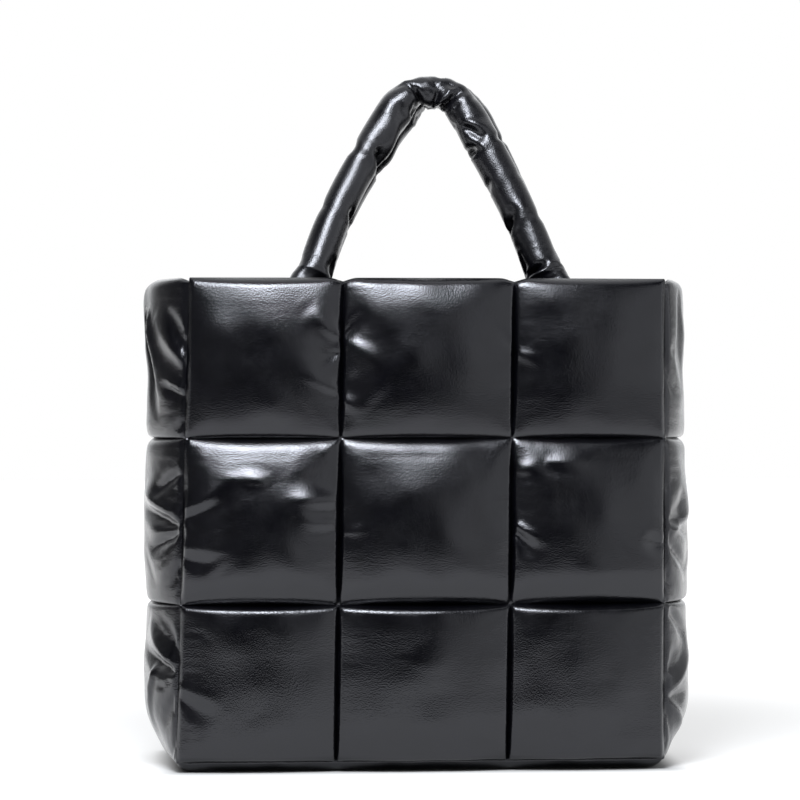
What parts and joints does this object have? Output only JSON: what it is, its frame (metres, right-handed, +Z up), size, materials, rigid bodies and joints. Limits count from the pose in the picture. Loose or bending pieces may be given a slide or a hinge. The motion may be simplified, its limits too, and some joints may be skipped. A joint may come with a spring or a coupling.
{
  "type": "puffer tote bag",
  "caption": "Quilted padded tote bag with an open top, bulging side gussets, a flat padded base and soft tube handles over the rim.",
  "frame": {"origin": "on the floor, under the middle of the bag", "axes": "+Z up, +X to the bag's right as seen from the front, the front panel faces -Y"},
  "size_m": [0.4558, 0.1962, 0.5694],
  "materials": {
    "padded_panel": "soft black faux leather, fine grain, satin gloss, quilted over padding",
    "padded_gusset": "soft black faux leather, fine grain, satin gloss, creased over padding",
    "padded_base": "soft black faux leather, fine grain, satin gloss",
    "padded_handle": "soft black faux leather, fine grain, satin gloss, folded over a padded core"
  },
  "bodies": {
    "root": {"front_panel": "padded_panel", "back_panel": "padded_panel", "left_gusset": "padded_gusset", "right_gusset": "padded_gusset", "base_panel": "padded_base", "front_handle": "padded_handle", "rear_handle": "padded_handle"}
  },
  "joints": []
}
